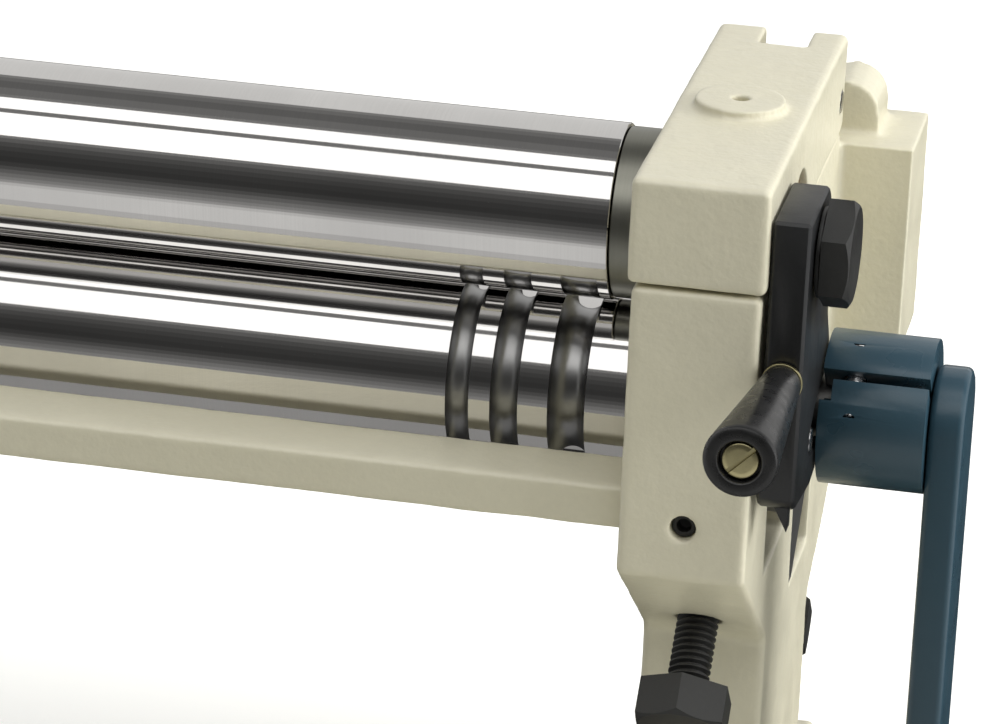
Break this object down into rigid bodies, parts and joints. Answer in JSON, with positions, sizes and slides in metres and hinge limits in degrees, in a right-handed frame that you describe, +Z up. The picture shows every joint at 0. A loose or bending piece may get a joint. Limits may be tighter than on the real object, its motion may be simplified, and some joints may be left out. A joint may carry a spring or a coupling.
{
  "type": "slip roll",
  "caption": "Bench slip roll with geared pinch rolls, wire grooves, rear bending roll, hinged end cap with hooked release lever, and hand crank.",
  "frame": {"origin": "sole of the right foot, in the middle of the frame's thickness and straight below the pinch rolls' axes", "axes": "+X along the rolls towards the crank, +Y to the back, +Z up"},
  "size_m": [1.1733, 0.2596, 0.268],
  "materials": {
    "cream_paint": "semi-gloss paint over rough casting",
    "roll_steel": "ground and polished",
    "plain_steel": "turned",
    "dark_steel": "oiled, dull",
    "black_oxide": "black oxide, satin",
    "black_plastic": "glossy moulding",
    "brass": "turned brass",
    "bronze": "oiled sintered bronze",
    "grey_iron": "machined cast iron",
    "blue_paint": "satin paint",
    "zinc": "bright zinc plate"
  },
  "bodies": {
    "frame": {"right_frame": "cream_paint", "left_frame": "cream_paint", "front_tie_bar": "cream_paint", "rear_tie_bar": "cream_paint", "right_grub_screw": "black_oxide", "left_grub_screw": "black_oxide", "cap_hinge_pin": "plain_steel", "latch_pin": "plain_steel", "front_swivel_pin": "black_oxide", "rear_swivel_pin": "black_oxide", "gear_cover": "cream_paint", "cover_screw_1": "black_oxide", "cover_screw_2": "black_oxide", "cover_screw_3": "black_oxide"},
    "cap": {"right_cap": "cream_paint", "lever_pivot_bolt": "black_oxide", "lever_washer": "black_oxide"},
    "lever": {"release_lever": "black_oxide", "lever_grip_washer": "brass", "lever_grip_screw": "brass"},
    "lever_grip": {"lever_grip": "black_plastic"},
    "upper_carrier": {"swivel_block": "grey_iron", "upper_left_bush": "bronze", "upper_right_bush": "bronze"},
    "upper_roll": {"upper_roll": "roll_steel", "upper_roll_collar": "dark_steel", "upper_gear": "grey_iron", "upper_gear_key": "plain_steel", "upper_retaining_ring": "black_oxide"},
    "lower_carriage": {"lower_right_block": "grey_iron", "lower_right_bush": "bronze", "lower_left_block": "grey_iron", "lower_left_bush": "bronze"},
    "lower_roll": {"lower_roll": "roll_steel", "lower_gear": "grey_iron", "lower_gear_key": "plain_steel", "lower_retaining_ring": "black_oxide", "crank_hub": "blue_paint", "hub_clamp_screw": "zinc", "crank_arm": "blue_paint", "crank_grip_bolt": "zinc"},
    "crank_grip": {"crank_grip": "black_plastic"},
    "rear_carriage": {"rear_right_block": "grey_iron", "rear_right_bush": "bronze", "rear_left_block": "grey_iron", "rear_left_bush": "bronze"},
    "rear_roll": {"rear_roll": "roll_steel"},
    "front_right_screw": {"front_right_adjusting_screw": "black_oxide"},
    "front_left_screw": {"front_left_adjusting_screw": "black_oxide"},
    "rear_right_screw": {"rear_right_adjusting_screw": "black_oxide"},
    "rear_left_screw": {"rear_left_adjusting_screw": "black_oxide"}
  },
  "joints": [
    {"name": "cap_hinge", "type": "hinge", "parent": "frame", "child": "cap", "pos_m": [0, 0.0808, 0.237], "axis": [-1, 0, 0], "range_deg": [0, 105]},
    {"name": "release_lever_hinge", "type": "hinge", "parent": "cap", "child": "lever", "pos_m": [0.0193, -0.036, 0.2323], "axis": [-1, 0, 0], "range_deg": [0, 60]},
    {"name": "lever_grip_spin", "type": "hinge", "parent": "lever", "child": "lever_grip", "pos_m": [0.02455, -0.0573, 0.2016], "axis": [-0.0349, -0.9994, 0], "continuous": true},
    {"name": "upper_roll_lift", "type": "hinge", "parent": "frame", "child": "upper_carrier", "pos_m": [-0.9707, 0, 0.225], "axis": [0, -1, 0], "range_deg": [0, 2.8]},
    {"name": "upper_roll_spin", "type": "hinge", "parent": "upper_carrier", "child": "upper_roll", "pos_m": [0, 0, 0.225], "axis": [1, 0, 0], "continuous": true},
    {"name": "front_roll_height", "type": "slide", "parent": "frame", "child": "lower_carriage", "axis": [0, 0, 1], "range_m": [-0.004, 0.0008]},
    {"name": "lower_roll_spin", "type": "hinge", "parent": "lower_carriage", "child": "lower_roll", "pos_m": [0, 0, 0.1739], "axis": [1, 0, 0], "continuous": true},
    {"name": "crank_grip_spin", "type": "hinge", "parent": "lower_roll", "child": "crank_grip", "pos_m": [0.0706, 0, 0.0339], "axis": [1, 0, 0], "continuous": true},
    {"name": "rear_roll_height", "type": "slide", "parent": "frame", "child": "rear_carriage", "axis": [0, 0, 1], "range_m": [0, 0.03]},
    {"name": "rear_roll_spin", "type": "hinge", "parent": "rear_carriage", "child": "rear_roll", "pos_m": [0, 0.057, 0.151], "axis": [1, 0, 0], "continuous": true},
    {"name": "front_right_screw_feed", "type": "slide", "parent": "frame", "child": "front_right_screw", "axis": [0, 0.7071, 0.7071], "range_m": [-0.00293, 0.00067]},
    {"name": "rear_right_screw_feed", "type": "slide", "parent": "frame", "child": "rear_right_screw", "axis": [0, -0.7071, 0.7071], "range_m": [0, 0.02131]},
    {"name": "front_left_screw_feed", "type": "slide", "parent": "frame", "child": "front_left_screw", "axis": [0, 0.7071, 0.7071], "range_m": [-0.00293, 0.00067]},
    {"name": "rear_left_screw_feed", "type": "slide", "parent": "frame", "child": "rear_left_screw", "axis": [0, -0.7071, 0.7071], "range_m": [0, 0.02131]}
  ],
  "couplings": [
    {"joint": "upper_roll_lift", "follows": "cap_hinge", "ratio": 0.026},
    {"joint": "upper_roll_spin", "follows": "lower_roll_spin", "ratio": -1},
    {"joint": "front_right_screw_feed", "follows": "front_roll_height", "ratio": 0.70711},
    {"joint": "rear_right_screw_feed", "follows": "rear_roll_height", "ratio": 0.70711},
    {"joint": "front_left_screw_feed", "follows": "front_roll_height", "ratio": 0.70711},
    {"joint": "rear_left_screw_feed", "follows": "rear_roll_height", "ratio": 0.70711}
  ]
}
